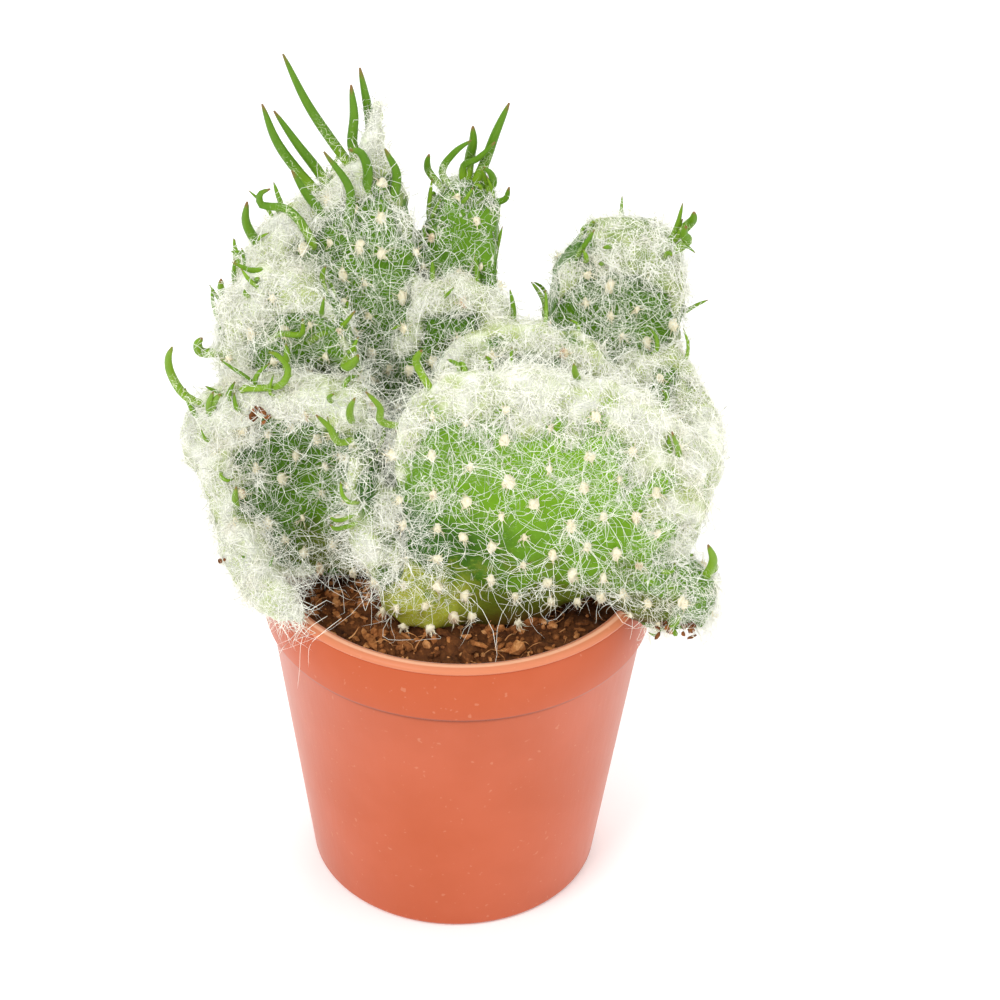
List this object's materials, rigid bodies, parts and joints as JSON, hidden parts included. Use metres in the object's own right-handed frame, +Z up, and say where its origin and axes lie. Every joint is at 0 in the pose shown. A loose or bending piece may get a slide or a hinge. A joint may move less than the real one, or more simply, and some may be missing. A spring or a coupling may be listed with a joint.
{
  "type": "potted crested prickly pear",
  "caption": "Crested woolly prickly pear with folded green fans, white felt along the growing edges and awl-shaped leaves, in a small terracotta-coloured plastic nursery pot",
  "frame": {"origin": "middle of the underside of the pot, on the surface that it stands on", "axes": "+Z up; -Y is the front, where the broad fan faces; +X to the right as seen from the front"},
  "size_m": [0.1148, 0.0858, 0.19],
  "materials": {
    "pot": "moulded plastic, satin, terracotta orange",
    "soil": null,
    "flesh": null,
    "wool": "felt of fine white hair, matt"
  },
  "bodies": {
    "root": {"pot": "pot", "soil": "soil", "plant": "flesh", "wool_front": "wool", "wool_crown": "wool"}
  },
  "joints": []
}
